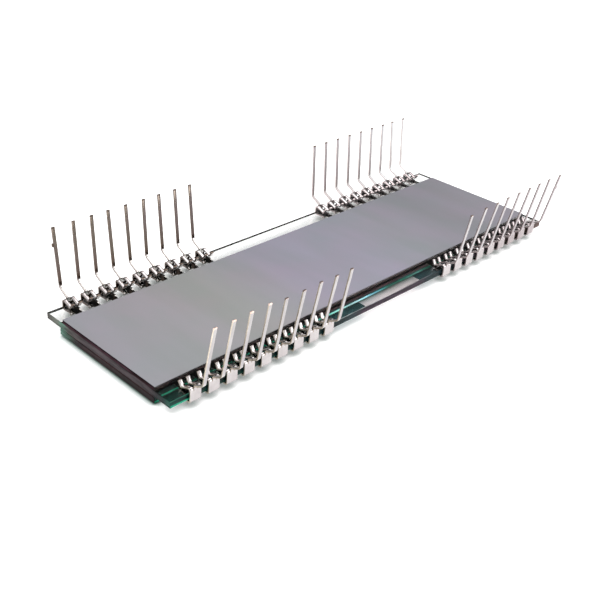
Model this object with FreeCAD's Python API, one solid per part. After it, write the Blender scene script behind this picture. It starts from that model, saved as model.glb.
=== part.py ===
import FreeCAD, Part
import math
import os

from FreeCAD import Vector

# Segment LCD cell with edge clip terminals, lying on its viewing face.
# Millimetres. X runs along the cell, Y across it, +Z away from the viewer.
# The origin is the centre of the viewing face, on the front polariser.

# Terminal places along each long side
PITCH = 2.54
GROUP_SIZE = 9
EMPTY_PITCHES = 8
END_MARGIN = 3.1

# Glass cell
PLATE_LENGTH = (2 * GROUP_SIZE + EMPTY_PITCHES - 1) * PITCH + 2 * END_MARGIN
REAR_PLATE_WIDTH = 23.2
FRONT_PLATE_WIDTH = 17.8
PLATE_THICKNESS = 0.85
CELL_GAP = 0.04
FILM_THICKNESS = 0.01

# Polarising films, set back from the edges of the front plate
POLARISER_END_SETBACK = 0.3
POLARISER_SIDE_SETBACK = 0.225
FRONT_POLARISER_THICKNESS = 0.2
REAR_POLARISER_THICKNESS = 0.18
REFLECTOR_THICKNESS = 0.06

# Perimeter seal with its filling port in the +X end
SEAL_WIDTH = 1.0
SEAL_SETBACK = 0.4
PORT_WIDTH = 3.0
PLUG_DEPTH = 0.8
BEAD_WIDTH = 4.6
BEAD_PROUD = 0.35
BEAD_HEIGHT = 0.9

# Stamped terminal strip
STRIP_THICKNESS = 0.2
CLIP_WIDTH = 1.5
PRONG_WIDTH = 0.45
LEAD_WIDTH = 0.44
CLIP_CLEARANCE = 0.2
BEND_RADIUS = 0.25
CLIP_FLAT_COUNT = 4

# Height above the glass where the slits between prongs and lead begin
SLIT_HEIGHT = 0.36

# Upper prongs: distances in from the glass edge, angles from the glass
PRONG_REACH = 1.3
PRONG_FALL = 22.0
PRONG_RISE = 60.0
PRONG_TIP_LENGTH = 0.75

# Lower tongue
TONGUE_REACH = 1.0
TONGUE_RISE = 3.0
TONGUE_TAIL_FALL = 25.0
TONGUE_TAIL_LENGTH = 0.4

# Conductive paste between the glass ledge and each tongue
PASTE_SETBACK = 0.05
PASTE_REACH = 1.05
PASTE_THICKNESS = 0.04

# Lead: it rises from the clip, steps outward and stands up
STEP_HEIGHT = 0.82
STEP_OUT = 1.38
STEP_SLOPE = 27.0
STEP_FLAT_COUNT = 2
LEAD_BEND_RADIUS = 0.6
KNEE_FLAT_COUNT = 3
TIP_HEIGHT = 11.25
NEAR_ROW_LEAN = 11.2
FAR_ROW_LEAN = 3.9

# Remains of the carrier strip on the outermost lead of each row
STUB_LENGTH = 0.12
STUB_HEIGHT = 0.45
STUB_DROP = 2.0

# Display pattern
DIGITS = 4
DIGIT_PITCH = 14.6
DIGIT_WIDTH = 7.0
DIGIT_HEIGHT = 11.4
SEGMENT_WIDTH = 1.3
SEGMENT_GAP = 0.15
POINT_SIZE = 1.4
TRACK_WIDTH = 0.9
DOT_SIZE = 0.9

# Levels, counted up from the viewing face
FRONT_GLASS_BASE = FRONT_POLARISER_THICKNESS
FRONT_GLASS_TOP = FRONT_GLASS_BASE + PLATE_THICKNESS
REAR_GLASS_BASE = FRONT_GLASS_TOP + CELL_GAP
REAR_GLASS_TOP = REAR_GLASS_BASE + PLATE_THICKNESS
REAR_POLARISER_TOP = REAR_GLASS_TOP + REAR_POLARISER_THICKNESS
COMMON_TOP = FRONT_GLASS_TOP + FILM_THICKNESS
TRACK_BASE = REAR_GLASS_BASE - FILM_THICKNESS
PASTE_BASE = TRACK_BASE - PASTE_THICKNESS

# Places that several pieces share
POLARISER_LENGTH = PLATE_LENGTH - 2 * POLARISER_END_SETBACK
POLARISER_WIDTH = FRONT_PLATE_WIDTH - 2 * POLARISER_SIDE_SETBACK
GLASS_EDGE = REAR_PLATE_WIDTH / 2
CLIP_BACK = GLASS_EDGE + CLIP_CLEARANCE + STRIP_THICKNESS / 2
SEAL_LENGTH = PLATE_LENGTH - 2 * SEAL_SETBACK
SEAL_SPAN = FRONT_PLATE_WIDTH - 2 * SEAL_SETBACK
CAVITY_LENGTH = SEAL_LENGTH - 2 * SEAL_WIDTH
CAVITY_WIDTH = SEAL_SPAN - 2 * SEAL_WIDTH


def slab(length, width, base, height, x=0.0, y=0.0):
    """Rectangular plate centred on x, y and standing on base."""
    corner = Vector(x - length / 2, y - width / 2, base)
    return Part.makeBox(length, width, height, corner)


def prism(corners, base, height):
    """Upright prism over a polygon of (x, y) corners."""
    points = [Vector(x, y, base) for x, y in corners]
    face = Part.Face(Part.makePolygon(points + points[:1]))
    return face.extrude(Vector(0, 0, height))


def heading(start, end):
    """Unit vector from one (outward, height) point to another."""
    step = (end[0] - start[0], end[1] - start[1])
    size = math.hypot(*step)
    return (step[0] / size, step[1] / size)


def bend(before, corner, after, radius, flats):
    """Points that round a corner of a strip's middle line by short flats."""
    way = heading(before, corner)
    way_out = heading(corner, after)
    turn = math.atan2(way[0] * way_out[1] - way[1] * way_out[0],
                      way[0] * way_out[0] + way[1] * way_out[1])
    side = math.copysign(1.0, turn)
    back = radius * math.tan(abs(turn) / 2)
    centre = (corner[0] - way[0] * back - way[1] * radius * side,
              corner[1] - way[1] * back + way[0] * radius * side)
    points = []
    for step in range(flats + 1):
        angle = turn * step / flats
        spoke = (side * (way[1] * math.cos(angle) + way[0] * math.sin(angle)),
                 side * (way[1] * math.sin(angle) - way[0] * math.cos(angle)))
        points.append((centre[0] + radius * spoke[0], centre[1] + radius * spoke[1]))
    return points


def strip_surface(line, offset):
    """Points of a strip's surface, offset to the left of its middle line."""
    ways = [heading(start, end) for start, end in zip(line, line[1:])]
    surface = []
    for point, way, way_out in zip(line, ways[:1] + ways, ways + ways[-1:]):
        normal = (-way[1] - way_out[1], way[0] + way_out[0])
        stretch = 2 * offset / (normal[0] ** 2 + normal[1] ** 2)
        surface.append((point[0] + normal[0] * stretch, point[1] + normal[1] * stretch))
    return surface


def bent_strip(line, width, x=0.0):
    """Sheet strip that follows a middle line of (outward, height) points."""
    half = STRIP_THICKNESS / 2
    outline = strip_surface(line, half) + strip_surface(line, -half)[::-1]
    points = [Vector(x - width / 2, out, height) for out, height in outline]
    face = Part.Face(Part.makePolygon(points + points[:1]))
    return face.extrude(Vector(width, 0, 0))


def along(start, angle, length):
    """Point at a length from start, the angle counted up from outward."""
    turn = math.radians(angle)
    return (start[0] + length * math.cos(turn), start[1] + length * math.sin(turn))


def contact_corner(touch, fall, rise, upward):
    """Corner of the middle line where the strip just touches the glass.

    touch is the contact point. The strip nears the glass at the angle fall
    and leaves it at the angle rise, on the side that upward gives.
    """
    half = math.radians((fall + rise) / 2)
    lean = math.radians((rise - fall) / 2)
    reach = STRIP_THICKNESS / 2 / math.cos(half)
    return (touch[0] + reach * math.sin(lean), touch[1] + upward * reach * math.cos(lean))


def level_on_back(corner, angle):
    """Corner on the clip's back where a line from corner at angle meets it."""
    rise = (CLIP_BACK - corner[0]) * math.tan(math.radians(angle))
    return (CLIP_BACK, corner[1] + rise)


def clip_back_and_tongue():
    """Upright back outside the glass edge, with the tongue below the glass."""
    touch = (GLASS_EDGE - TONGUE_REACH, PASTE_BASE)
    contact = contact_corner(touch, TONGUE_RISE, TONGUE_TAIL_FALL, -1)
    bottom = level_on_back(contact, -TONGUE_RISE)
    tail = along(contact, 180 + TONGUE_TAIL_FALL, TONGUE_TAIL_LENGTH)
    top = (CLIP_BACK, REAR_GLASS_TOP + SLIT_HEIGHT)
    turn = bend(top, bottom, contact, BEND_RADIUS, CLIP_FLAT_COUNT)
    return bent_strip([top] + turn + [contact, tail], CLIP_WIDTH)


def clip_prong(x):
    """Upper prong: over the glass edge, down to touch it, tip curled up."""
    touch = (GLASS_EDGE - PRONG_REACH, REAR_GLASS_TOP)
    contact = contact_corner(touch, PRONG_FALL, PRONG_RISE, 1)
    crown = level_on_back(contact, PRONG_FALL)
    tip = along(contact, 180 - PRONG_RISE, PRONG_TIP_LENGTH)
    foot = (CLIP_BACK, REAR_GLASS_TOP)
    turn = bend(foot, crown, contact, BEND_RADIUS, CLIP_FLAT_COUNT)
    return bent_strip([foot] + turn + [contact, tip], PRONG_WIDTH, x)


def lead_knee():
    """Corner where the stepped-out strip turns up into the lead."""
    slope = math.radians(STEP_SLOPE)
    height = REAR_GLASS_TOP + STEP_HEIGHT + STEP_OUT * math.tan(slope)
    return (CLIP_BACK + STEP_OUT, height)


def clip_lead(lean):
    """Middle strip: up from the back, a step outward, then the upright lead."""
    foot = (CLIP_BACK, REAR_GLASS_TOP)
    step = (CLIP_BACK, REAR_GLASS_TOP + STEP_HEIGHT)
    knee = lead_knee()
    rise = (TIP_HEIGHT - knee[1]) / math.cos(math.radians(lean))
    tip = along(knee, 90 - lean, rise)
    line = [foot] + bend(foot, step, knee, BEND_RADIUS, STEP_FLAT_COUNT)
    line += bend(step, knee, tip, LEAD_BEND_RADIUS, KNEE_FLAT_COUNT) + [tip]
    return bent_strip(line, LEAD_WIDTH)


def carrier_stub(lean, side):
    """Torn end of the carrier strip on the outer edge of an end lead."""
    knee = lead_knee()
    drop = math.cos(math.radians(lean))
    top = (TIP_HEIGHT - STUB_DROP - knee[1]) / drop
    ends = [along(knee, 90 - lean, length) for length in (top - STUB_HEIGHT, top)]
    return bent_strip(ends, STUB_LENGTH, side * (LEAD_WIDTH + STUB_LENGTH) / 2)


def terminal(lean, stub_side=0):
    """One stamped terminal, standing at x = 0 on the +Y side."""
    prong_x = (CLIP_WIDTH - PRONG_WIDTH) / 2
    pieces = [clip_prong(-prong_x), clip_prong(prong_x), clip_lead(lean)]
    if stub_side:
        pieces.append(carrier_stub(lean, stub_side))
    return clip_back_and_tongue().fuse(pieces).removeSplitter()


def terminal_places():
    """Places of one row's terminals along X, in two groups."""
    count = 2 * GROUP_SIZE + EMPTY_PITCHES
    places = [(index - (count - 1) / 2) * PITCH for index in range(count)]
    return places[:GROUP_SIZE] + places[-GROUP_SIZE:]


def segment(x, y, length, upright):
    """Hexagonal segment of a digit, pointed at both ends."""
    half = SEGMENT_WIDTH / 2
    long_half = length / 2
    outline = [(-long_half, 0), (half - long_half, half), (long_half - half, half),
               (long_half, 0), (long_half - half, -half), (half - long_half, -half)]
    if upright:
        outline = [(v, u) for u, v in outline]
    return prism([(x + u, y + v) for u, v in outline], TRACK_BASE, FILM_THICKNESS)


def digit(x):
    """Seven segments of one digit, centred on x."""
    across = DIGIT_WIDTH - SEGMENT_WIDTH
    down = (DIGIT_HEIGHT - SEGMENT_WIDTH) / 2
    shapes = [segment(x, row * down, across - SEGMENT_GAP, False) for row in (-1, 0, 1)]
    for column in (-1, 1):
        for row in (-0.5, 0.5):
            shapes.append(segment(x + column * across / 2, row * down,
                                  down - SEGMENT_GAP, True))
    return shapes


def contact_track(x, side):
    """Contact track from under the glass ledge into the cell."""
    inner = (DIGIT_HEIGHT + SEGMENT_WIDTH) / 2
    return slab(TRACK_WIDTH, GLASS_EDGE - inner, TRACK_BASE, FILM_THICKNESS,
                x, side * (GLASS_EDGE + inner) / 2)


def segment_electrodes(places):
    """Clear conductor on the rear plate: digits, points, colon and tracks."""
    digit_places = [(index - (DIGITS - 1) / 2) * DIGIT_PITCH for index in range(DIGITS)]
    point_y = (SEGMENT_WIDTH - DIGIT_HEIGHT) / 2
    shapes = []
    for x in digit_places:
        shapes.extend(digit(x))
    for x in digit_places[:-1]:
        shapes.append(slab(POINT_SIZE, POINT_SIZE, TRACK_BASE, FILM_THICKNESS,
                           x + DIGIT_PITCH / 2, point_y))
    for y in (-DIGIT_HEIGHT / 8, DIGIT_HEIGHT / 4):
        shapes.append(slab(POINT_SIZE, POINT_SIZE, TRACK_BASE, FILM_THICKNESS, 0.0, y))
    for side in (-1, 1):
        shapes.extend([contact_track(x, side) for x in places])
    return Part.makeCompound(shapes)


def contact_paste(places):
    """Black conductive paste between the contact tracks and the tongues."""
    middle = GLASS_EDGE - PASTE_SETBACK - PASTE_REACH / 2
    return Part.makeCompound([slab(CLIP_WIDTH, PASTE_REACH, PASTE_BASE, PASTE_THICKNESS,
                                   x, side * middle)
                              for side in (-1, 1) for x in places])


def crossover_dots(places):
    """Conductive dots that carry the common drive to the front plate."""
    height = TRACK_BASE - COMMON_TOP
    shapes = []
    for x, side in ((places[0], -1), (places[-1], 1)):
        y = side * (CAVITY_WIDTH - DOT_SIZE) / 2
        shapes.append(slab(DOT_SIZE, DOT_SIZE, COMMON_TOP, height, x, y))
    return Part.makeCompound(shapes)


def seal_ring():
    """Epoxy ring between the plates, open at the filling port."""
    height = TRACK_BASE - FRONT_GLASS_TOP
    outer = slab(SEAL_LENGTH, SEAL_SPAN, FRONT_GLASS_TOP, height)
    inner = slab(CAVITY_LENGTH, CAVITY_WIDTH, FRONT_GLASS_TOP, height)
    port = slab(2 * SEAL_WIDTH, PORT_WIDTH, FRONT_GLASS_TOP, height, SEAL_LENGTH / 2)
    return outer.cut(inner).cut(port)


def port_plug():
    """Cured plug in the filling port, with its bead outside the glass ends."""
    glass_end = PLATE_LENGTH / 2
    tongue_length = SEAL_SETBACK + PLUG_DEPTH
    tongue = slab(tongue_length, PORT_WIDTH, FRONT_GLASS_TOP,
                  TRACK_BASE - FRONT_GLASS_TOP, glass_end - tongue_length / 2)
    middle = (FRONT_GLASS_TOP + REAR_GLASS_BASE) / 2
    low = middle - BEAD_HEIGHT / 2
    mid_chord = Vector(glass_end + BEAD_PROUD, 0, low)
    arc = Part.Arc(Vector(glass_end, -BEAD_WIDTH / 2, low), mid_chord,
                   Vector(glass_end, BEAD_WIDTH / 2, low)).toShape()
    chord = Part.makeLine(Vector(glass_end, BEAD_WIDTH / 2, low),
                          Vector(glass_end, -BEAD_WIDTH / 2, low))
    bead = Part.Face(Part.Wire([arc, chord])).extrude(Vector(0, 0, BEAD_HEIGHT))
    return bead.fuse(tongue).removeSplitter()


def liquid_crystal():
    """Fluid layer that fills the cell between the two conductor films."""
    depth = TRACK_BASE - COMMON_TOP
    layer = slab(CAVITY_LENGTH, CAVITY_WIDTH, COMMON_TOP, depth)
    neck_length = SEAL_WIDTH - PLUG_DEPTH
    neck = slab(neck_length, PORT_WIDTH, COMMON_TOP, depth,
                (CAVITY_LENGTH + neck_length) / 2)
    return layer.fuse(neck).removeSplitter()


def cell(places):
    """Every piece of the display cell, by name."""
    film = (POLARISER_LENGTH, POLARISER_WIDTH)
    dots = crossover_dots(places)
    return {
        "front_polariser": slab(*film, 0.0, FRONT_POLARISER_THICKNESS),
        "front_glass": slab(PLATE_LENGTH, FRONT_PLATE_WIDTH, FRONT_GLASS_BASE,
                            PLATE_THICKNESS),
        "common_electrode": slab(CAVITY_LENGTH, CAVITY_WIDTH, FRONT_GLASS_TOP,
                                 FILM_THICKNESS),
        "perimeter_seal": seal_ring(),
        "port_plug": port_plug(),
        "liquid_crystal": liquid_crystal().cut(dots),
        "crossover_dots": dots,
        "segment_electrodes": segment_electrodes(places),
        "contact_paste": contact_paste(places),
        "rear_glass": slab(PLATE_LENGTH, REAR_PLATE_WIDTH, REAR_GLASS_BASE,
                           PLATE_THICKNESS),
        "rear_polariser": slab(*film, REAR_GLASS_TOP, REAR_POLARISER_THICKNESS),
        "rear_reflector": slab(*film, REAR_POLARISER_TOP, REFLECTOR_THICKNESS),
    }


def terminal_rows(places):
    """All terminals: numbered along the near row, then back along the far one."""
    middle = Vector(0, 0, 0)
    upright = Vector(0, 0, 1)
    parts = {}
    for index in range(4 * GROUP_SIZE):
        near = index < len(places)
        x = places[index] if near else places[2 * len(places) - 1 - index]
        last = index in (len(places) - 1, 2 * len(places) - 1)
        # The near row is the far row's form turned half round, so a stub on
        # the outer edge is on the form's -X side in both rows.
        lean = NEAR_ROW_LEAN if near else FAR_ROW_LEAN
        clip = terminal(lean, -1 if last else 0)
        if near:
            clip.rotate(middle, upright, 180)
        clip.translate(Vector(x, 0, 0))
        parts["terminal_%02d" % (index + 1)] = clip
    return parts


def main():
    os.makedirs("parts", exist_ok=True)
    places = terminal_places()
    nodes = cell(places)
    nodes.update(terminal_rows(places))
    for name, shape in nodes.items():
        shape.exportStep("parts/%s.step" % name)


main()
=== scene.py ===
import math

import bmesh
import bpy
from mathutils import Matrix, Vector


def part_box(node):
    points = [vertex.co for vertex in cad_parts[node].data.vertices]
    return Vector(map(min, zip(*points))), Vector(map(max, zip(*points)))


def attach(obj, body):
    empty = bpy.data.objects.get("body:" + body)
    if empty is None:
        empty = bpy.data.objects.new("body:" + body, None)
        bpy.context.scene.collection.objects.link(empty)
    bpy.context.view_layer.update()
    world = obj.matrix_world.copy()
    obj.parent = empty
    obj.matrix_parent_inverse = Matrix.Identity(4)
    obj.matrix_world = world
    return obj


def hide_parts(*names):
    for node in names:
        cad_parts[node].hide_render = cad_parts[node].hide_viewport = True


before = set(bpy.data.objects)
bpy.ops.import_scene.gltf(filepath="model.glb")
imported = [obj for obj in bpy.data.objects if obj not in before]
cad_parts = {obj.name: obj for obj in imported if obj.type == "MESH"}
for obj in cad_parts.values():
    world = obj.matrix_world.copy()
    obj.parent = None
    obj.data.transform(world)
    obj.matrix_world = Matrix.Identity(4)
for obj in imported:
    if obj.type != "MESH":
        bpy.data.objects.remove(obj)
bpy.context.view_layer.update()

# %% [markdown]
# # A segment LCD on its face, rendered in Blender
#
# The object is a glass display cell that lies on its viewing face, so we look at its grey rear film.
# Two glass plates are glued face to face. The upper one is wider, and its two long edges stand out as
# ledges. Stamped and tinned clips are pushed over the ledges, and their leads stand up.
#
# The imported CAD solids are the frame. Each real finish gets its own material. The glass plates and the
# clips, whose edges and bends catch the light, are made again with finer shapes inside the same sizes.

MM = 0.001

# %% [markdown]
# ## Helpers for materials
#
# Colours are written as sRGB hex values, the way a designer would pick them, and one function turns
# them to the linear values that the shader needs. Another small function adds a node, sets its
# inputs and links the rest, which keeps every material readable.


# %% Colour and node helpers
def linear(code):
    """Linear RGBA of an sRGB hex colour."""
    parts = [int(code[i:i + 2], 16) / 255 for i in (1, 3, 5)]
    return tuple(c / 12.92 if c <= 0.04045 else ((c + 0.055) / 1.055) ** 2.4 for c in parts) + (1.0,)


def add(material, kind, settings=None, **inputs):
    """A node with its settings, and with each input set to a value or linked to a socket."""
    tree = material.node_tree
    node = tree.nodes.new(kind)
    for key, value in (settings or {}).items():
        setattr(node, key, value)
    for key, value in inputs.items():
        index = key[2:] if key.startswith("in") else ""
        socket = node.inputs[int(index) if index.isdigit() else key.replace("_", " ")]
        if isinstance(value, bpy.types.NodeSocket):
            tree.links.new(value, socket)
        else:
            socket.default_value = value
    return node


def new_material(name):
    """An empty node material, and the point in object space, which is in metres."""
    material = bpy.data.materials.new(name)
    material.use_nodes = True
    material.node_tree.nodes.clear()
    place = add(material, "ShaderNodeTexCoord").outputs["Object"]
    return material, place


def finish_material(material, shader):
    """Links the shader to the material's output."""
    add(material, "ShaderNodeOutputMaterial", Surface=shader.outputs["BSDF"])
    print("material", material.name)
    return material


def ramp_between(material, factor, low, high, start, end):
    """Colour that goes from low to high as factor goes from start to end."""
    node = add(material, "ShaderNodeValToRGB", Fac=factor)
    node.color_ramp.elements[0].position = start
    node.color_ramp.elements[0].color = linear(low)
    node.color_ramp.elements[1].position = end
    node.color_ramp.elements[1].color = linear(high)
    return node.outputs["Color"]


def ramp_along(material, value, stops):
    """Colour that follows a coordinate through its (millimetres, colour) stops."""
    first, last = stops[0][0], stops[-1][0]
    part = add(material, "ShaderNodeMapRange", Value=value, From_Min=first * MM, From_Max=last * MM)
    node = add(material, "ShaderNodeValToRGB", Fac=part.outputs["Result"])
    marks = node.color_ramp.elements
    marks[0].color = linear(stops[0][1])
    marks[1].color = linear(stops[-1][1])
    for place, colour in stops[1:-1]:
        marks.new((place - first) / (last - first)).color = linear(colour)
    return node.outputs["Color"]


# A Mix node has sockets for numbers, vectors and colours: these are the places of its colour ones
COLOUR_A, COLOUR_B, COLOUR_OUT = 6, 7, 2


def blend(material, low, high, share, kind="MIX"):
    """Two colours mixed, or multiplied, by a share."""
    node = add(material, "ShaderNodeMix", {"data_type": "RGBA", "blend_type": kind}, in0=share)
    material.node_tree.links.new(low, node.inputs[COLOUR_A])
    material.node_tree.links.new(high, node.inputs[COLOUR_B])
    return node.outputs[COLOUR_OUT]


# %% [markdown]
# ## The matt grey reflector film
#
# The outer rear layer is a thin plastic film loaded with fine silver-grey pigment, which scatters the
# light back evenly. The eye sees a flat grey that grows a little deeper towards one end, with a
# barely visible mottle and faint streaks a few millimetres wide. The pigment grain is about 0.1 mm.
# A plain grey would look like painted card, and an image of a real film would only fit one size, so noise at
# each of these scales is laid over the grey. The slow change of the grey follows a few stops, set and
# adjusted until the lit film agreed with the photograph's.


# %% Material: pigmented reflector film
FILM_TONES = ((-34, "#807f83"), (-16, "#81807f"), (-6, "#7f7b85"), (4, "#7e7c86"), (14, "#7a797f"),
              (24, "#727176"), (34, "#747277"))
FILM_ACROSS = ((-8.7, "#ffffff"), (0, "#faf9fa"), (8.7, "#f3f4f4"))


def pigmented_film():
    """Grey film with streaks across it, soft blotches and a fine pigment grain."""
    material, place = new_material("pigmented_diffuse_film_coated")
    split = add(material, "ShaderNodeSeparateXYZ", Vector=place)
    tone = blend(material, ramp_along(material, split.outputs["X"], FILM_TONES),
                 ramp_along(material, split.outputs["Y"], FILM_ACROSS), 1.0, "MULTIPLY")
    streak_place = add(material, "ShaderNodeMapping", Vector=place, Scale=(190.0, 40.0, 1.0))
    streaks = add(material, "ShaderNodeTexNoise", {"noise_dimensions": "2D"}, Vector=streak_place.outputs[0],
                  Scale=1.0, Detail=2.0, Roughness=0.5)
    blotch = add(material, "ShaderNodeTexNoise", {"noise_dimensions": "2D"}, Vector=place,
                 Scale=95.0, Detail=3.0, Roughness=0.55)
    grain = add(material, "ShaderNodeTexNoise", Vector=place, Scale=9000.0, Detail=1.0)
    tint = ramp_between(material, streaks.outputs["Fac"], "#ebf0ed", "#fdf8ff", 0.35, 0.65)
    cast = ramp_between(material, blotch.outputs["Fac"], "#fdf5fa", "#eefaf6", 0.35, 0.65)
    colour = blend(material, blend(material, tone, tint, 0.6, "MULTIPLY"), cast, 0.4, "MULTIPLY")
    bump = add(material, "ShaderNodeBump", Strength=0.08, Distance=0.00002, Height=grain.outputs["Fac"])
    shader = add(material, "ShaderNodeBsdfPrincipled", Base_Color=colour, Roughness=0.62, IOR=1.48,
                 Normal=bump.outputs["Normal"])
    shader.inputs["Specular IOR Level"].default_value = 0.15
    return finish_material(material, shader)


# %% [markdown]
# ## Polarising film
#
# A polariser is a stretched, dyed plastic sheet with a clear glossy skin. Alone it is a neutral
# grey-green. Its cut edge shows the long way through the dye, so it reads almost black. A second
# material on the edge faces would do, but the faces are the CAD solid's own. So one material tells
# them apart by their direction: an upright face gets the colour of the cut.


# %% Material: dyed polarising film
CUT_DYE = ("#171113", "#241b1e")


def dyed_film(name, low, high, roughness):
    """Stretched film with faint lines along X, a glossy skin and dark cut edges."""
    material, place = new_material(name)
    stretch = add(material, "ShaderNodeMapping", Vector=place, Scale=(40.0, 700.0, 700.0))
    lines = add(material, "ShaderNodeTexNoise", Vector=stretch.outputs[0], Scale=1.0, Detail=2.0)
    skin = ramp_between(material, lines.outputs["Fac"], low, high, 0.3, 0.7)
    cut = ramp_between(material, lines.outputs["Fac"], *CUT_DYE, 0.3, 0.7)
    normal = add(material, "ShaderNodeNewGeometry").outputs["Normal"]
    upright = add(material, "ShaderNodeSeparateXYZ", Vector=normal).outputs["Z"]
    flat = add(material, "ShaderNodeMath", {"operation": "ABSOLUTE"}, in0=upright)
    colour = blend(material, cut, skin, flat.outputs[0])
    shader = add(material, "ShaderNodeBsdfPrincipled", Base_Color=colour, Roughness=roughness, IOR=1.49,
                 Coat_Weight=0.6, Coat_Roughness=0.08)
    return finish_material(material, shader)


# %% [markdown]
# ## Clear sheet glass
#
# The plates are thin soda-lime float glass. Flat faces are fire-polished and clear, so we use an index of
# 1.52 with full transmission. A plain transparent surface would render faster, but it wouldn't bend the
# light that passes the ledges. The free middle stretch of the near ledge is a little greyer than the rest.
# That grey is painted shade, standing for the shadowed floor seen through it.


# %% Material: float glass faces
def float_glass(name, tint_low, tint_high):
    """Smooth clear glass whose faint tint drifts over some millimetres."""
    material, place = new_material(name)
    drift = add(material, "ShaderNodeTexNoise", Vector=place, Scale=350.0, Detail=2.0)
    colour = ramp_between(material, drift.outputs["Fac"], tint_low, tint_high, 0.3, 0.7)
    shader = add(material, "ShaderNodeBsdfPrincipled", Base_Color=colour, Roughness=0.0, IOR=1.52,
                 Transmission_Weight=1.0)
    return finish_material(material, shader)


# %% [markdown]
# ## Broken edges
#
# The plates were scribed and broken, so their edges are clear but uneven. An edge shows the long way through
# the glass behind it, and that changes along the side: purple-grey in the clear middle stretch, deep green
# among the clips, bright green at the corners. These colours are painted light and shade. Each edge takes
# them from stops along its length, made uneven by fine noise, and lets little or none of the light through.
# A plate also carries light inside it and gives it off at its edge. The glow is painted light for that, an
# emission from the edge itself.


# %% Material: broken glass edge
TONE_SWAY = 0.5 * MM


def broken_edge(name, axis, stops, clear, roughness=0.25, glow=None):
    """Edge colours by place along an axis, and the colours of the light that leaves the edge, if any."""
    material, place = new_material(name)
    along = add(material, "ShaderNodeSeparateXYZ", Vector=place).outputs[axis]
    ripple = add(material, "ShaderNodeTexNoise", Vector=place, Scale=900.0, Detail=3.0, Roughness=0.6)
    shift = add(material, "ShaderNodeMapRange", Value=ripple.outputs["Fac"], From_Min=0.25, From_Max=0.75,
                To_Min=-TONE_SWAY, To_Max=TONE_SWAY)
    uneven = add(material, "ShaderNodeMath", {"operation": "ADD"}, in0=along, in1=shift.outputs["Result"])
    stretched = add(material, "ShaderNodeMapping", Vector=place, Scale=(350.0, 350.0, 3500.0))
    lines = add(material, "ShaderNodeTexNoise", Vector=stretched.outputs[0], Scale=1.0, Detail=3.0)
    shade = ramp_between(material, lines.outputs["Fac"], "#707070", "#ffffff", 0.38, 0.62)
    colour = blend(material, ramp_along(material, uneven.outputs[0], stops), shade, 0.8, "MULTIPLY")
    bump = add(material, "ShaderNodeBump", Strength=0.4, Distance=0.0001, Height=ripple.outputs["Fac"])
    shader = add(material, "ShaderNodeBsdfPrincipled", Base_Color=colour, Roughness=roughness, IOR=1.52,
                 Transmission_Weight=clear, Normal=bump.outputs["Normal"])
    shader.inputs["Specular IOR Level"].default_value = 0.05
    if glow:
        light = blend(material, ramp_along(material, uneven.outputs[0], glow), shade, 0.5, "MULTIPLY")
        material.node_tree.links.new(light, shader.inputs["Emission Color"])
        shader.inputs["Emission Strength"].default_value = 1.0
    return finish_material(material, shader)


# %% [markdown]
# ## The dark inside of the cell, seen through the glass edge
#
# Both plates are in optical contact with the layers between them and with the polarisers outside, so
# light that enters an edge is swallowed there. From the side the glass therefore looks brown to
# purple-black, with faint streaks of interference colour. Clear faces against the CAD films would
# leave a film of air between the two, which mirrors the light back. So the faces of the plates that
# touch a film, the seal or the cell get this material themselves, and only the free faces stay clear.


# %% Material: absorbing film in optical contact
def contact_layer(name, low, high, roughness):
    """Dark layer behind glass, with soft streaks of a few millimetres."""
    material, place = new_material(name)
    stretched = add(material, "ShaderNodeMapping", Vector=place, Scale=(420.0, 420.0, 1600.0))
    streaks = add(material, "ShaderNodeTexNoise", Vector=stretched.outputs[0], Scale=1.0, Detail=4.0,
                  Roughness=0.6)
    colour = ramp_between(material, streaks.outputs["Fac"], low, high, 0.38, 0.68)
    shader = add(material, "ShaderNodeBsdfPrincipled", Base_Color=colour, Roughness=roughness, IOR=1.3)
    shader.inputs["Specular IOR Level"].default_value = 0.2
    return finish_material(material, shader)


# %% [markdown]
# ## Bright tin on bronze
#
# The clips are stamped from tin-plated bronze strip. Tin is bright and nearly neutral, with a soft bloom.
# Rolling leaves fine lines along the strip, 0.1 mm apart and less, and handling leaves small dull spots.
# Above the clips the tin of the leads is a little darker. The side of the strip that faces the glass has the
# thinner plating, and painted shade makes it darker and warmer towards the bend at the lead's foot, where
# the clip shades it. In the far right group that side is matt instead, and a painted reflection makes it
# paler from one lead to the next and towards the tips. Painted shade makes the tin of the whole part a
# little darker near its right end.


# %% Material: electroplated tin
# Painted shade along the row: the tin darkens towards the right end.
ROW_SHADE_TONES = ((-34.9, "#ffffff"), (17, "#ffffff"), (26, "#e2dcdd"), (34.9, "#ddd6d8"))
# Painted reflection: the far right group's matt tin grows paler from one lead to the next.
FAR_RIGHT_REFLECTION_TONES = ((10, "#a6a2a2"), (17, "#aca9aa"), (20, "#aaa8a9"), (24, "#acacae"), (27, "#b6b8ba"),
                   (32, "#c5c8c9"))


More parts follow.
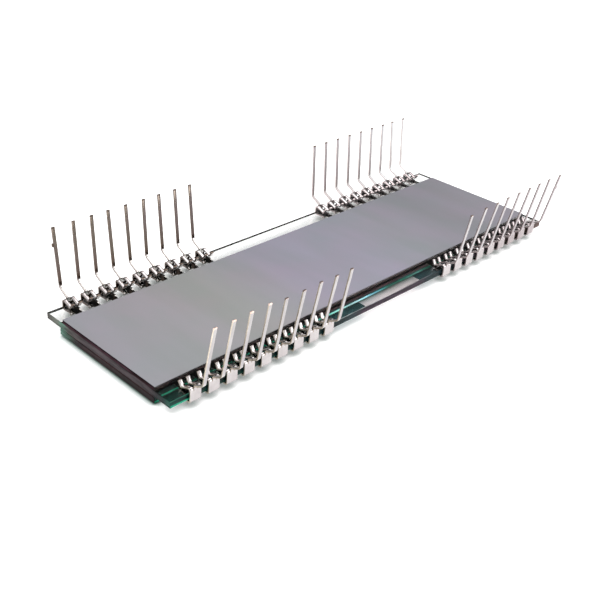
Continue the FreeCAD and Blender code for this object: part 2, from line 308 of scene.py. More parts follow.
def plated_tin(name, stops, smooth=0.08, dim=0.16, row=ROW_SHADE_TONES):
    """Tin whose colour follows the height and the row through (millimetres, colour) stops."""
    material, place = new_material(name)
    split = add(material, "ShaderNodeSeparateXYZ", Vector=place)
    tone = blend(material, ramp_along(material, split.outputs["Z"], stops),
                 ramp_along(material, split.outputs["X"], row), 1.0, "MULTIPLY")
    rolled = add(material, "ShaderNodeMapping", Vector=place, Scale=(9000.0, 900.0, 900.0))
    lines = add(material, "ShaderNodeTexNoise", Vector=rolled.outputs[0], Scale=1.0, Detail=2.0)
    spots = add(material, "ShaderNodeTexNoise", Vector=place, Scale=700.0, Detail=3.0, Roughness=0.6)
    shade = ramp_between(material, spots.outputs["Fac"], "#f2f0f0", "#ffffff", 0.35, 0.65)
    colour = blend(material, tone, shade, 1.0, "MULTIPLY")
    dull = add(material, "ShaderNodeMapRange", Value=spots.outputs["Fac"], From_Min=0.3, From_Max=0.7,
               To_Min=dim, To_Max=smooth)
    bump = add(material, "ShaderNodeBump", Strength=0.1, Distance=0.00001, Height=lines.outputs["Fac"])
    shader = add(material, "ShaderNodeBsdfPrincipled", Base_Color=colour, Metallic=1.0,
                 Roughness=dull.outputs["Result"], Normal=bump.outputs["Normal"])
    return finish_material(material, shader)


# %% [markdown]
# ## Sheared bronze edges
#
# The strip was plated before it was stamped, so the punch leaves bare bronze on its cut sides, made rough by
# the shear marks. How light the sides look is painted light and shade: those of the first group are almost
# as light as tin, those of the next ones mid-toned, and those of the far left group dark. At the very tips
# the carrier was cut off last. The first four tips still show fresh pink bronze, the others are dull.


# %% Material: sheared bronze
def sheared_bronze(name, low, high, roughness):
    """Rough metal with shear marks of a few tenths of a millimetre."""
    material, place = new_material(name)
    marks = add(material, "ShaderNodeTexNoise", Vector=place, Scale=2500.0, Detail=3.0, Roughness=0.6)
    colour = ramp_between(material, marks.outputs["Fac"], low, high, 0.3, 0.7)
    bump = add(material, "ShaderNodeBump", Strength=0.25, Distance=0.00002, Height=marks.outputs["Fac"])
    shader = add(material, "ShaderNodeBsdfPrincipled", Base_Color=colour, Metallic=1.0, Roughness=roughness,
                 Normal=bump.outputs["Normal"])
    return finish_material(material, shader)


# %% [markdown]
# ## Paste, seal, resin and coatings
#
# The black paste is carbon in a binder, matt and slightly lumpy. The seal is cured epoxy, and the
# plug a honey-coloured resin. The clear coatings carry a faint warm or green tint. One function makes
# them all, because they only differ in tone, gloss, lumps and the light that they let through.


# %% Material: cast, printed and coated layers
def cured_layer(name, low, high, roughness, lump, clear=0.0):
    """Matt layer with soft lumps; clear is the share of light that passes."""
    material, place = new_material(name)
    lumps = add(material, "ShaderNodeTexNoise", Vector=place, Scale=900.0, Detail=3.0, Roughness=0.6)
    colour = ramp_between(material, lumps.outputs["Fac"], low, high, 0.3, 0.7)
    bump = add(material, "ShaderNodeBump", Strength=lump, Distance=0.00005, Height=lumps.outputs["Fac"])
    shader = add(material, "ShaderNodeBsdfPrincipled", Base_Color=colour, Roughness=roughness, IOR=1.5,
                 Transmission_Weight=clear, Normal=bump.outputs["Normal"])
    return finish_material(material, shader)


# %% [markdown]
# ## The tones along each edge
#
# What stands behind a glass edge changes along it: clips and their green shade in the outer thirds, clear
# glass in the middle, the bare corner at each end. Tracing all of that light would take far more samples
# than a render has. So a few soft tones stand for it, each with its place in millimetres along the edge,
# from the left end (-X) or the near side (-Y) onward. They were set and adjusted by comparing renders with
# the photograph. The ramps blend them, and fine noise in the material keeps them from looking painted on.

# %% Edge tones, for what stands behind each stretch
LEDGE_TONES = ((-34.9, "#0a352b"), (-31, "#0a2724"), (-4, "#123438"), (7, "#10333a"), (14, "#2c3335"),
               (31, "#4f4947"), (33, "#c9c1bc"), (34.9, "#d8d0cc"))
REAR_SIDE_TONES = ((-34.9, "#17403a"), (-31.8, "#0f2522"), (-10, "#142527"), (-6.5, "#2a363a"),
                   (-5, "#352935"), (6.3, "#332933"), (8, "#10282c"), (20, "#40363e"), (31, "#4c4038"),
                   (34.9, "#5d4540"))
REAR_SIDE_LOW_TONES = ((-34.9, "#2f9c7b"), (-32.6, "#3aa888"), (-31.8, "#0f3a30"), (-10, "#142f30"),
                       (-6.5, "#2a363a"), (-5, "#41303f"), (6.3, "#3d303b"), (8, "#10282c"),
                       (20, "#38403c"), (31, "#4c4038"), (34.9, "#5d4540"))
FAR_SIDE_TONES = ((-34.9, "#2c2f22"), (-30, "#352419"), (-10, "#2f261e"), (10, "#352c24"), (34.9, "#3a332b"))
LOWER_SIDE_TONES = ((-34.9, "#1f7a5c"), (-33, "#3fb894"), (-31.5, "#0f7459"), (-12, "#159078"),
                    (-8, "#7fdccb"), (-3.2, "#f0ffff"), (-0.8, "#a8e0ee"), (0.8, "#62a0a4"), (3, "#459a84"),
                    (6, "#3b9c82"), (9, "#86d6c8"), (11.5, "#128068"), (25, "#1d5a48"), (34.9, "#5a5048"))
LOWER_SIDE_GLOW = ((-13, "#000000"), (-10, "#1a3c38"), (-7, "#64a49a"), (-4, "#8ed6d8"), (-1.5, "#88dcec"),
                   (0.5, "#4c8ca4"), (3, "#204a44"), (8, "#10302a"), (12, "#000000"))
MIDDLE_SIDE_TONES = ((-34.9, "#14302a"), (-12, "#0f2420"), (-10, "#24504e"), (0, "#205450"), (9, "#2a625c"),
                     (12, "#182824"), (34.9, "#3a2a2a"))
UPPER_SIDE_TONES = ((-34.9, "#14302a"), (-12, "#0f2420"), (-10, "#3a2528"), (9, "#4a2e34"), (12, "#241f20"),
                    (34.9, "#3a2a2a"))
RIM_TONES = ((-34.9, "#2c6a56"), (-11, "#3d5a58"), (-9.5, "#8f9a9a"), (0, "#a8a4a6"), (6.5, "#6f6a6e"),
             (9, "#1f3436"), (34.9, "#4a3c38"))
REAR_END_TONES = ((-11.6, "#1b4a3e"), (-10.4, "#142a28"), (-9.0, "#28272a"), (-8.2, "#362e31"),
                  (4.0, "#3f3639"), (7.0, "#46423f"), (8.2, "#4c6a5d"), (8.9, "#4f6a5b"), (9.3, "#565c53"),
                  (11.2, "#4c4a46"), (11.6, "#3c3836"))
FRONT_END_TONES = ((-8.9, "#180b10"), (-6.0, "#1d0e10"), (4.0, "#261216"), (5.5, "#2c1822"),
                   (6.6, "#2f3a31"), (8.0, "#48695a"), (8.9, "#54786a"))
print("ledge tones run from", LEDGE_TONES[0][0], "to", LEDGE_TONES[-1][0], "mm")

# %% [markdown]
# ## One material for each real finish
#
# Now each function above is called with the two ends of the colour range of a real surface. Sharing
# one function between finishes of one kind keeps their scale and grain alike, and the names say
# which real surface each one stands for.

# %% Films and glass
reflector_finish = pigmented_film()
rear_film_finish = dyed_film("dyed_polariser_rear", "#231a1e", "#30252a", 0.25)
front_film_finish = dyed_film("dyed_polariser_front", "#8d938a", "#969b90", 0.16)
glass_face = float_glass("float_glass_polished_face", "#f7f9f8", "#fcfbfb")
# Painted shade: the free stretch of the near ledge is tinted grey for the shadowed floor seen through it.
free_ledge = float_glass("float_glass_free_ledge", "#b3a4a8", "#bcaeb1")
# Painted light and shade: the ledge undersides over the clips, the rim, and the broken sides and ends take
# their colours from the tone stops above. The lowest stripe of the front plate's sides also glows.
ledge_shade = broken_edge("float_glass_over_pads", "X", LEDGE_TONES, 0.6, 0.12)
# Painted highlight and shade: the chamfer's light grey middle stretch is a painted highlight line. Its dark
# and green stretches are painted shade and light.
rim = broken_edge("float_glass_scribed_rim", "X", RIM_TONES, 0.2, 0.4)
rear_side = broken_edge("float_glass_broken_rear_side", "X", REAR_SIDE_TONES, 0.06)
rear_side_low = broken_edge("float_glass_broken_rear_side_foot", "X", REAR_SIDE_LOW_TONES, 0.06)
far_side = broken_edge("float_glass_broken_far_side", "X", FAR_SIDE_TONES, 0.1)
lower_side = broken_edge("float_glass_broken_lower_side", "X", LOWER_SIDE_TONES, 0.0, glow=LOWER_SIDE_GLOW)
middle_side = broken_edge("float_glass_broken_middle_side", "X", MIDDLE_SIDE_TONES, 0.0)
upper_side = broken_edge("float_glass_broken_upper_side", "X", UPPER_SIDE_TONES, 0.0)
rear_end = broken_edge("float_glass_broken_rear_end", "Y", REAR_END_TONES, 0.0)
front_end = broken_edge("float_glass_broken_front_end", "Y", FRONT_END_TONES, 0.0)
seal_inside = contact_layer("seal_bonded_to_rear_plate", "#4e383b", "#70544f", 0.5)
rear_inside = contact_layer("film_bonded_to_rear_plate", "#38252a", "#5e443f", 0.5)
# Nothing is bonded on the rear plate's bare top beyond the film's ends. It gets this dark layer all the
# same, which shows as a dark strip along each end.
rim_inside = contact_layer("dark_layer_at_plate_ends", "#1c0d10", "#3a262e", 0.5)
front_inside = contact_layer("film_bonded_to_front_plate", "#4a302e", "#74524c", 0.5)

# %% Metal
tin = plated_tin("electroplated_tin_rolled", ((0, "#b5b0b0"), (3.6, "#b5b0b0"), (4.1, "#a6a2a4"),
                                              (11, "#aba8a8")))
# Painted shade: the inner face darkens and warms towards the bend at the lead's foot.
thin_tin_and_shade = plated_tin("electroplated_tin_thin_painted_shade", ((0, "#bdb9b6"), (3.6, "#bdb9b6"), (4.1, "#9a8578"),
                                                 (6.5, "#ac9d91"), (8.5, "#b1a397"), (11, "#b2a597")))
# Painted reflection: this matt tin grows paler along the far right group and towards the lead tips.
matt_tin_painted_reflection = plated_tin("electroplated_tin_matt_painted_reflection", ((0, "#f2f0ee"), (3.6, "#f2f0ee"), (4.1, "#f4ece8"),
                                                 (11, "#ffffff")), 0.42, 0.5, FAR_RIGHT_REFLECTION_TONES)
# Painted light and shade on the cut sides: bare bronze that is dark in the far left group, mid-toned in the
# next groups and almost as light as tin in the first group.
edge_bronze = sheared_bronze("bronze_sheared_side", "#4c403b", "#6f6158", 0.35)
light_side_bronze = sheared_bronze("bronze_sheared_smeared", "#b9ad9d", "#d3c8b8", 0.35)
mid_tone_bronze = sheared_bronze("bronze_sheared_mid_tone", "#a09394", "#b8acaa", 0.35)
tip_bronze = sheared_bronze("bronze_sheared_fresh", "#cdb0a2", "#dec8bd", 0.35)

# %% Paste, seal, resin and coatings
carbon_paste = cured_layer("carbon_paste_printed", "#0b0b0c", "#191817", 0.55, 0.4)
epoxy = cured_layer("epoxy_seal_printed", "#6b675c", "#7c776a", 0.4, 0.2)
resin = cured_layer("plug_resin_cured", "#b59a5e", "#cdb77f", 0.15, 0.3, 0.4)
clear_coat = cured_layer("tin_oxide_coating", "#7c7a6c", "#8b897b", 0.2, 0.0)
cell_fluid = cured_layer("crystal_fluid_filled", "#7e8273", "#8d9182", 0.25, 0.0)
silver_dots = cured_layer("conductive_dots_printed", "#8b8b8a", "#a5a5a3", 0.4, 0.3)

# %% [markdown]
# ## The pieces that keep their CAD shape
#
# Films, paste, seal, plug, dots and coatings are plain shapes, and the CAD solids already are as fine
# as the eye can tell. Drawing them again would add nothing, so they only get their material.

# %% Materials on the CAD nodes that stay
kept = {
    "rear_reflector": reflector_finish, "rear_polariser": rear_film_finish,
    "front_polariser": front_film_finish, "common_electrode": clear_coat,
    "perimeter_seal": epoxy, "liquid_crystal": cell_fluid, "crossover_dots": silver_dots,
    "segment_electrodes": clear_coat, "contact_paste": carbon_paste, "port_plug": resin,
}
for node, material in kept.items():
    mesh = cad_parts[node].data
    mesh.materials.clear()
    mesh.materials.append(material)
print("materials on", len(kept), "CAD nodes")


# %% [markdown]
# ## The glass plates
#
# Each plate is a plain sheet, but its faces have different jobs: part of each flat face is bonded to
# a film and the rest is free. We start from a cube the size of the plate, cut it along the film's
# outline with bisect, and give every part of the surface its material. A tiny bevel takes the
# sharpness off the broken edges.


# %% Helper: a plate cut along lines, given in metres as the CAD boxes are
CHAMFER = 0.00006
SAME_PLACE = 1e-7


def plate(name, node, cuts_x, cuts_y, cuts_z):
    """A sheet over the CAD node's box, cut at the given x, y and z values."""
    low, high = (Vector(corner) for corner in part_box(node))
    mesh = bmesh.new()
    bmesh.ops.create_cube(mesh, size=1.0)
    bmesh.ops.scale(mesh, vec=high - low, verts=mesh.verts)
    bmesh.ops.translate(mesh, vec=(low + high) / 2, verts=mesh.verts)
    bmesh.ops.bevel(mesh, geom=list(mesh.edges), offset=CHAMFER, segments=1, profile=0.5,
                    affect="EDGES", material=-1)
    for axis, cuts in enumerate((cuts_x, cuts_y, cuts_z)):
        for cut in cuts:
            normal = Vector((axis == 0, axis == 1, axis == 2))
            everything = list(mesh.verts) + list(mesh.edges) + list(mesh.faces)
            bmesh.ops.bisect_plane(mesh, geom=everything, plane_co=normal * cut, plane_no=normal,
                                   dist=SAME_PLACE)
    data = bpy.data.meshes.new(name)
    mesh.to_mesh(data)
    mesh.free()
    piece = bpy.data.objects.new(name, data)
    bpy.context.scene.collection.objects.link(piece)
    return piece


def dress(piece, finishes, choose):
    """Gives the piece its finishes, and each face the one that choose(centre, normal) returns."""
    for finish in finishes:
        piece.data.materials.append(finish)
    for face in piece.data.polygons:
        face.material_index = finishes.index(choose(face.center, face.normal))
    print(piece.name, "has", len(piece.data.polygons), "faces")


# %% [markdown]
# The rear plate is cut at the film's outline, at the seal, and where the near ledge's free stretch begins
# and ends. One more cut runs 1 mm outside the front plate's side: along this strip the look down through the
# ledge falls on that side, so its underside must stay clear. A cut 0.3 mm above the underside parts off the
# lowest stretch of the side, whose bright green near the corners is painted light. A mask in the material
# could do the same, but a face with its own finish stays sharp and is easy to follow.

# %% The rear plate, with its ledges
film_low, film_high = (Vector(corner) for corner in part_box("rear_polariser"))
seal_low, seal_high = (Vector(corner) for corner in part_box("perimeter_seal"))
FREE_START, FREE_END = -4.0 * MM, 6.6 * MM
BRIGHT_LINE = 0.3 * MM
SIGHT_MARGIN = 1.0 * MM
sight_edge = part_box("front_glass")[0][1] - SIGHT_MARGIN
rear_bright_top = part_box("rear_glass")[0][2] + BRIGHT_LINE
rear_plate = plate("rear_plate", "rear_glass", (film_low.x, FREE_START, FREE_END, film_high.x),
                   (sight_edge, film_low.y, seal_low.y, seal_high.y, film_high.y), (rear_bright_top,))

# %% The rear plate's finishes, by where a face lies and how much it faces along an axis
LEVEL, ENDWAYS, RIM_TILT = 0.9, 0.6, 0.5


def rear_plate_finish(centre, normal):
    """The finish of one face: first the top, then the underside, then the ends and the sides."""
    if normal.z > LEVEL and film_low.y < centre.y < film_high.y:
        return rear_inside if film_low.x < centre.x < film_high.x else rim_inside
    if normal.z > LEVEL:
        return glass_face
    if normal.z < -LEVEL and centre.y < sight_edge:
        return free_ledge if FREE_START < centre.x < FREE_END else ledge_shade
    if normal.z < -LEVEL:
        return seal_inside if seal_low.y < centre.y < seal_high.y else glass_face
    if abs(normal.x) > ENDWAYS:
        return rear_end
    if normal.y > 0:
        return far_side
    if normal.z > RIM_TILT:
        return rim
    return rear_side_low if centre.z < rear_bright_top else rear_side


dress(rear_plate, (glass_face, rear_side, far_side, rear_end, rear_inside, ledge_shade, rim, free_ledge,
                   rear_side_low, rim_inside, seal_inside), rear_plate_finish)
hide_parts("rear_glass")
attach(rear_plate, "root")

# %% [markdown]
# The front plate's long side shows three stripes, one above another. The lowest 0.3 mm is painted light:
# bright colours, and a glow in the middle stretch, stand for the light that gathers there. The next 0.2 mm
# is dark green, and above it the side is brown like the films over it. Two level cuts part the stripes, and
# each gets a finish of its own.

# %% The front plate, with its striped sides
GREEN_LINE = 0.2 * MM
bright_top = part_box("front_glass")[0][2] + BRIGHT_LINE
green_top = bright_top + GREEN_LINE
front_plate = plate("front_plate", "front_glass", (film_low.x, film_high.x),
                    (seal_low.y, seal_high.y), (bright_top, green_top))


def front_plate_finish(centre, normal):
    """The finish of one face: first the two flat faces, then the ends, then the stripes of the sides."""
    if abs(normal.z) > LEVEL:
        return front_inside if seal_low.y < centre.y < seal_high.y else glass_face
    if abs(normal.x) > ENDWAYS:
        return front_end
    if centre.z < bright_top:
        return lower_side
    return middle_side if centre.z < green_top else upper_side


dress(front_plate, (glass_face, lower_side, upper_side, front_end, front_inside, middle_side),
      front_plate_finish)
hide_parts("front_glass")
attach(front_plate, "root")


# %% [markdown]
# ## The clip terminals
#
# Each terminal is one stamped strip, 0.2 mm thick. Its back stands outside the glass edge and turns
# under the ledge as a wide tongue. Above the back the blank is slit in three: the outer strips come
# over the edge as sprung prongs and curl up at their ends, and the middle one rises, steps outward
# and stands up as the lead.
#
# A press brake bends a flat blank along lines, and we can do the same. A row of vertices across the
# blank is extruded, edge by edge, along a path that rounds each bend with a real radius. Solidify
# gives the sheet its thickness, and a small Bevel rounds the stamped edges, so they catch the light.

# %% Sizes of the strip, in millimetres: first what it stands on, then the blank
rear_corner = Vector(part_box("rear_glass")[1])
GLASS_SIDE = rear_corner.y / MM
LEDGE_TOP = rear_corner.z / MM
PASTE_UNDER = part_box("contact_paste")[0][2] / MM
STRIP = 0.2
CLIP_CLEARANCE = 0.2
SLIT_HEIGHT = 0.36
SLIT = LEDGE_TOP + SLIT_HEIGHT
BACK = GLASS_SIDE + CLIP_CLEARANCE + STRIP / 2
BLANK = (-0.75, -0.3, -0.22, 0.22, 0.3, 0.75)
print("the clips' backs stand", round(BACK, 2), "mm from the middle line")

# %% Bends, as millimetres and as degrees from the glass
BEND_RADIUS = 0.25
CONTACT_RADIUS = 0.12
TONGUE_REACH, TONGUE_RISE = 1.0, 3.0
TONGUE_TAIL, TONGUE_TAIL_WAY, TONGUE_TAIL_RADIUS = 0.4, 205.0, 0.3
PRONG_REACH, PRONG_FALL = 1.3, 22.0
PRONG_TIP, PRONG_TIP_WAY = 0.75, 120.0
STEP_HEIGHT, STEP_OUT, STEP_SLOPE = 0.82, 1.38, 27.0
KNEE_RADIUS = 0.6
LEANS = {"near": 11.2, "far": 3.9}

# A slanting strip touches at its corner, so its middle line turns a little beside the contact point
PRONG_OUT, PRONG_UP, TONGUE_DOWN = 0.045, 0.03, 0.003

# %% The lead's upper end, and the stub of the carrier
TIP = 11.25
TIP_CUT = 0.16
STUB_DROP, STUB_HEIGHT, STUB_LENGTH = 2.0, 0.45, 0.22
STUB_LOW, STUB_HIGH = TIP - STUB_DROP - STUB_HEIGHT, TIP - STUB_DROP
print("leads end", round(TIP - LEDGE_TOP, 2), "mm above the ledge")


# %% Helper: a path with rounded bends
ARC_STEP = 9.0


def rounded(points, radii):
    """The path through (out, up) points, each inner corner rounded by its radius."""
    path = [Vector(points[0])]
    for before, corner, after, radius in zip(points, points[1:], points[2:], radii):
        corner = Vector(corner)
        way_in = (corner - Vector(before)).normalized()
        way_out = (Vector(after) - corner).normalized()
        turn = way_in.angle_signed(way_out) * -1
        back = radius * math.tan(abs(turn) / 2)
        start = corner - way_in * back
        side = math.copysign(1.0, turn)
        centre = start + Vector((-way_in.y, way_in.x)) * radius * side
        steps = max(2, round(math.degrees(abs(turn)) / ARC_STEP))
        for step in range(steps + 1):
            spoke = start - centre
            spoke.rotate(Matrix.Rotation(turn * step / steps, 2))
            path.append(centre + spoke)
    path.append(Vector(points[-1]))
    return path


def polar(start, angle, length):
    """The point at a length and an angle, counted up from outward."""
    turn = math.radians(angle)
    return (start[0] + length * math.cos(turn), start[1] + length * math.sin(turn))


# %% The three paths of the strip
def tongue_path():
    """Down the back, round under the ledge, along to the paste and away from it."""
    contact = (GLASS_SIDE - TONGUE_REACH, PASTE_UNDER - STRIP / 2 - TONGUE_DOWN)
    corner = (BACK, contact[1] - (BACK - contact[0]) * math.tan(math.radians(TONGUE_RISE)))
    tail = polar(contact, TONGUE_TAIL_WAY, TONGUE_TAIL)
    return rounded([(BACK, SLIT), corner, contact, tail], [BEND_RADIUS, TONGUE_TAIL_RADIUS])


def prong_path():
    """Up from the back, over the edge, down to the ledge and up at the tip."""
    contact = (GLASS_SIDE - PRONG_REACH + PRONG_OUT, LEDGE_TOP + STRIP / 2 + PRONG_UP)
    crown = (BACK, contact[1] + (BACK - contact[0]) * math.tan(math.radians(PRONG_FALL)))
    tip = polar(contact, PRONG_TIP_WAY, PRONG_TIP)
    return rounded([(BACK, SLIT), crown, contact, tip], [BEND_RADIUS, CONTACT_RADIUS])


def lead_path(lean, shorter):
    """Up, a step outward, then the long upright lead, with points where its finish changes."""
    step = (BACK, LEDGE_TOP + STEP_HEIGHT)
    knee = (BACK + STEP_OUT, step[1] + STEP_OUT * math.tan(math.radians(STEP_SLOPE)))
    stretch = math.cos(math.radians(lean))
    tip = polar(knee, 90.0 - lean, (TIP - shorter - knee[1]) / stretch)
    path = rounded([(BACK, SLIT), step, knee, tip], [BEND_RADIUS, KNEE_RADIUS])
    breaks = [STUB_LOW, STUB_HIGH, TIP - shorter - TIP_CUT]
    marks = [Vector(polar(knee, 90.0 - lean, (height - knee[1]) / stretch)) for height in breaks]
    return path[:-1] + marks + path[-1:]


# %% [markdown]
# One row of five edges, as wide as the blank, starts at the slit. It goes down as a whole for the back
# and the tongue. Upward only the two outer edges go on as prongs, and the middle one as the lead. Two
# outermost leads, one at each end, keep a torn stub of the carrier on their side.

# %% Helper: draw a row of edges along a path
def draw_along(mesh, edges, path):
    """Extrudes the edges from the first point of the path to each next one."""
    for here, there in zip(path, path[1:]):
        grown = bmesh.ops.extrude_edge_only(mesh, edges=edges)["geom"]
        verts = [item for item in grown if isinstance(item, bmesh.types.BMVert)]
        bmesh.ops.translate(mesh, vec=Vector((0, there.x - here.x, there.y - here.y)), verts=verts)
        edges = [item for item in grown if isinstance(item, bmesh.types.BMEdge)
                 and all(v in verts for v in item.verts)]


# %% The stub of the carrier, with a hair of room where heights are compared
HAIR = 0.01


def tear_stub(mesh, clip_verts):
    """Draws the lead's edge outward where the carrier was torn off; its faces are bare bronze."""
    side = [edge for edge in mesh.edges
            if all(v.co.x < 0 and v not in clip_verts and STUB_LOW - HAIR < v.co.z < STUB_HIGH + HAIR
                   for v in edge.verts)]
    stub = bmesh.ops.extrude_edge_only(mesh, edges=side)["geom"]
    bmesh.ops.translate(mesh, vec=Vector((-STUB_LENGTH, 0, 0)),
                        verts=[item for item in stub if isinstance(item, bmesh.types.BMVert)])
    for item in stub:
        if isinstance(item, bmesh.types.BMFace):
            item.material_index = 1


# %% The bent sheet of one terminal; above LEAN_FROM a lead leans sideways, more and more
LEAN_FROM = 1.6
LEAN_CURVE = 1.2


def bent_sheet(lean, sideways, shorter, torn):
    """One terminal's middle surface, in millimetres, at x = 0 on the +Y side."""
    mesh = bmesh.new()
    row = [mesh.verts.new((x, BACK, SLIT)) for x in BLANK]
    blank = [mesh.edges.new(pair) for pair in zip(row, row[1:])]
    draw_along(mesh, blank, tongue_path())
    draw_along(mesh, [blank[0], blank[4]], prong_path())
    clip_verts = set(mesh.verts)
    draw_along(mesh, [blank[2]], lead_path(lean, shorter))
    if torn:
        tear_stub(mesh, clip_verts)
    for face in mesh.faces:
        face.smooth = True
        if face.calc_center_median().z > TIP - shorter - TIP_CUT:
            face.material_index = 1
    for vert in set(mesh.verts) - clip_verts:
        height = max(0.0, vert.co.z - LEDGE_TOP - LEAN_FROM)
        vert.co.x += sideways * (height / (TIP - LEDGE_TOP - LEAN_FROM)) ** LEAN_CURVE
    bmesh.ops.remove_doubles(mesh, verts=mesh.verts, dist=1e-5)
    bmesh.ops.recalc_face_normals(mesh, faces=mesh.faces)
    back = max(mesh.faces, key=lambda face: face.calc_area() if face.calc_center_median().z < SLIT else 0)
    if back.normal.y < 0:
        bmesh.ops.reverse_faces(mesh, faces=mesh.faces)
    return mesh


# %% [markdown]
# The leads were handled, so no two stand quite alike. Random numbers would give some such look, but
# another one each time the list changes, so each lead has its own small sideways lean and difference
# in height written down, in millimetres at the tip.

# %% Small irregularities of the leads
PITCH = 2.54
GROUP_SIZE, EMPTY_PITCHES = 9, 8
ROW_SIZE = 2 * GROUP_SIZE
ROW_MIDDLE = (ROW_SIZE + EMPTY_PITCHES - 1) / 2
NEAR_SIDE = (0.1, 0.08, -0.12, -0.1, -0.22, -0.1, -0.1, -0.1, -0.25,
             -0.45, 0.02, 0.15, -0.06, 0.0, 0.05, -0.1, -0.2, 0.1)
NEAR_SHORT = (0.0, 0.1, 0.0, 0.0, 0.28, 0.28, 0.14, 0.24, 0.2,
              0.28, 0.08, 0.12, 0.0, 0.0, 0.0, 0.0, 0.0, 0.1)
FAR_SIDE = (-0.1, 0.1, 0.08, -0.1, -0.06, 0.08, -0.08, -0.08, -0.2,
            0.2, 0.08, 0.06, 0.1, 0.14, 0.08, 0.16, -0.1, 0.02)


def lead_place(number):
    """The row, x place in millimetres and irregularities of a terminal."""
    near = number <= ROW_SIZE
    index = number - 1 if near else 2 * ROW_SIZE - number
    x = (index + (EMPTY_PITCHES if index >= GROUP_SIZE else 0) - ROW_MIDDLE) * PITCH
    if near:
        return "near", x, NEAR_SIDE[index], NEAR_SHORT[index]
    return "far", x, FAR_SIDE[index], 0.0


# %% [markdown]
# Terminals 1 to 18 are the near row from left to right, 19 to 36 the far row back to the left. The
# mesh is drawn for the far side, and a half turn brings it to the near side. Solidify takes materials
# in pairs here: the outer face, the inner face and the cut sides, each followed by its colour at the
# cut tip.

# %% The finishes of one terminal
FRESH_TIPS = 4
INNER_FINISH, SIDE_FINISH = 2, 4
STAMPED_RADIUS = 0.03


def terminal_finishes(number):
    """Outer face, its cap, inner face, its cap, cut side and its cap."""
    far_right = ROW_SIZE < number <= ROW_SIZE + GROUP_SIZE
    fresh = number <= FRESH_TIPS
    inner = matt_tin_painted_reflection if far_right else thin_tin_and_shade
    mid_or_dark_side = mid_tone_bronze if number <= ROW_SIZE + GROUP_SIZE else edge_bronze
    side = light_side_bronze if number <= GROUP_SIZE else mid_or_dark_side
    mid_or_dark_cap = mid_tone_bronze if number <= ROW_SIZE else edge_bronze
    cap = tip_bronze if fresh else mid_or_dark_cap
    return tin, cap, inner, cap, side, tip_bronze if fresh else edge_bronze


# %% Make the 36 terminals
def terminal(number):
    """One finished terminal in place."""
    row, x, sideways, shorter = lead_place(number)
    torn = number in (ROW_SIZE, 2 * ROW_SIZE)
    mesh = bent_sheet(LEANS[row], -sideways if row == "near" else sideways, shorter, torn)
    turn = Matrix.Rotation(math.pi if row == "near" else 0.0, 4, "Z")
    bmesh.ops.transform(mesh, matrix=Matrix.Scale(MM, 4) @ Matrix.Translation((x, 0, 0)) @ turn,
                        verts=mesh.verts)
    name = "clip_%02d" % number
    data = bpy.data.meshes.new(name)
    mesh.to_mesh(data)
    mesh.free()
    for finish in terminal_finishes(number):
        data.materials.append(finish)
    piece = bpy.data.objects.new(name, data)
    bpy.context.scene.collection.objects.link(piece)
    sheet = piece.modifiers.new("thickness", "SOLIDIFY")
    sheet.thickness = STRIP * MM
    sheet.offset = 0.0
    sheet.use_even_offset = True
    sheet.material_offset = INNER_FINISH
    sheet.material_offset_rim = SIDE_FINISH
    edge = piece.modifiers.new("stamped edge", "BEVEL")
    edge.width = STAMPED_RADIUS * MM
    edge.segments = 2
    edge.limit_method = "ANGLE"
    edge.angle_limit = math.radians(40)
    edge.use_clamp_overlap = True
    piece.modifiers.new("flat faces", "WEIGHTED_NORMAL")
    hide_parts("terminal_%02d" % number)
    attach(piece, "root")
    return piece


clips = [terminal(number) for number in range(1, 2 * ROW_SIZE + 1)]
print(len(clips), "terminals, first one has", len(clips[0].data.polygons), "faces before its modifiers")

# %% [markdown]
# ## Floor, light and camera
#
# The object lies on an overexposed white sweep in a bright studio. The sweep is a translucent sheet that is
# lit a little from below, which keeps the shadows light and short. Only in the last millimetre beside the
# object is a painted shadow laid on the sheet: its colour darkens to green-grey where little light gets in
# between. The room behind is dark, and that keeps the clear glass and the upper ends of the leads deep in
# tone. Three soft lights fill the floor, and two of them, high on the right and low at the front right, put
# white lines on the bends.


# %% Floor
FLOOR_REACH = 3.0
CONTACT_SHADE = 1.0 * MM


def studio_floor():
    """White sheet with its own faint light and a painted shadow beside what stands on it."""
    mesh = bmesh.new()
    bmesh.ops.create_grid(mesh, x_segments=1, y_segments=1, size=FLOOR_REACH)
    data = bpy.data.meshes.new("floor")
    mesh.to_mesh(data)
    mesh.free()
    floor = bpy.data.objects.new("floor", data)
    bpy.context.scene.collection.objects.link(floor)
    material, place = new_material("white_paper_sweep")
    fibre = add(material, "ShaderNodeTexNoise", Vector=place, Scale=900.0, Detail=2.0)
    paper = ramp_between(material, fibre.outputs["Fac"], "#f2f2f2", "#f5f5f5", 0.3, 0.7)
    # Painted shadow: ambient occlusion darkens the sheet's colour to green-grey within a millimetre of the
    # object.
    open_sky = add(material, "ShaderNodeAmbientOcclusion", {"samples": 8}, Distance=CONTACT_SHADE)
    contact = ramp_between(material, open_sky.outputs["AO"], "#6f857e", "#ffffff", 0.35, 0.95)
    colour = blend(material, paper, contact, 1.0, "MULTIPLY")
    shader = add(material, "ShaderNodeBsdfPrincipled", Base_Color=colour, Roughness=0.9,
                 Emission_Color=colour, Emission_Strength=0.2)
    data.materials.append(finish_material(material, shader))


studio_floor()

# %% Sky
DARK_WAY = (0.66, 0.62, 0.42)
SKY_STRENGTH = 1.4


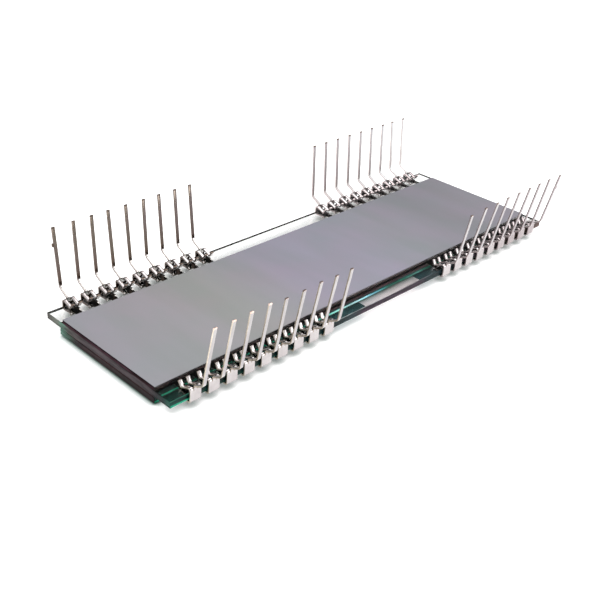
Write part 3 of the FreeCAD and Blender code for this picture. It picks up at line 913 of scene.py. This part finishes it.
def studio_sky():
    """A white dome that is dark in the direction behind the object."""
    world = bpy.data.worlds.new("studio")
    bpy.context.scene.world = world
    world.use_nodes = True
    way = add(world, "ShaderNodeTexCoord").outputs["Generated"]
    behind = add(world, "ShaderNodeVectorMath", {"operation": "DOT_PRODUCT"}, in0=way, in1=DARK_WAY)
    dome = ramp_between(world, behind.outputs["Value"], "#ffffff", "#383838", 0.62, 0.9)
    background = world.node_tree.nodes["Background"]
    world.node_tree.links.new(dome, background.inputs["Color"])
    background.inputs["Strength"].default_value = SKY_STRENGTH
    print("sky is dark towards", DARK_WAY)


studio_sky()


# %% Soft lights, each with its place, target and size in millimetres and its power in watts
def soft_light(name, place, target, size, power):
    """An area light at place, in millimetres, that faces target."""
    data = bpy.data.lights.new(name, "AREA")
    data.shape = "RECTANGLE"
    data.size, data.size_y = size[0] * MM, size[1] * MM
    data.energy = power
    light = bpy.data.objects.new(name, data)
    light.location = Vector(place) * MM
    aim = (Vector(target) - Vector(place)).to_track_quat("-Z", "Y")
    light.rotation_euler = aim.to_euler()
    bpy.context.scene.collection.objects.link(light)


soft_light("high left softbox", (-120, -60, 380), (0, 0, 0), (300, 300), 0.75)
soft_light("high right softbox", (270, 0, 330), (0, 0, 0), (300, 300), 0.8)
soft_light("low front right softbox", (235, -275, 97), (0, 0, 0), (240, 160), 0.38)

# %% [markdown]
# The camera stands at the left end, a little above, and looks along the part. Its place and its turn
# were worked out from where the film's corners, the clips and the lead tips lie in the photograph.
# That fit gives three axes, and a matrix takes them as they are, where angles would need rounding.

# %% Camera: its place over the reflector film in millimetres, its axes and its lens
STACK_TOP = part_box("rear_reflector")[1][2] / MM
CAMERA_PLACE = (-82.506, -73.549, 57.79 + STACK_TOP)
CAMERA_RIGHT = Vector((0.70688, -0.70496, 0.05786))
CAMERA_DOWN = Vector((-0.32022, -0.39189, -0.86249))
CAMERA_AHEAD = Vector((0.63069, 0.59115, -0.50276))
camera_data = bpy.data.cameras.new("camera")
camera_data.lens = 56.08
camera_data.sensor_width = 36.0
camera_data.clip_start = 0.01
camera = bpy.data.objects.new("camera", camera_data)
turned = Matrix((CAMERA_RIGHT, -CAMERA_DOWN, -CAMERA_AHEAD)).transposed().to_4x4()
camera.matrix_world = Matrix.Translation(Vector(CAMERA_PLACE) * MM) @ turned
bpy.context.scene.collection.objects.link(camera)
bpy.context.scene.camera = camera
bpy.context.scene.view_settings.view_transform = "Standard"
print("camera is", round(camera.location.length / MM, 1), "mm from the origin")
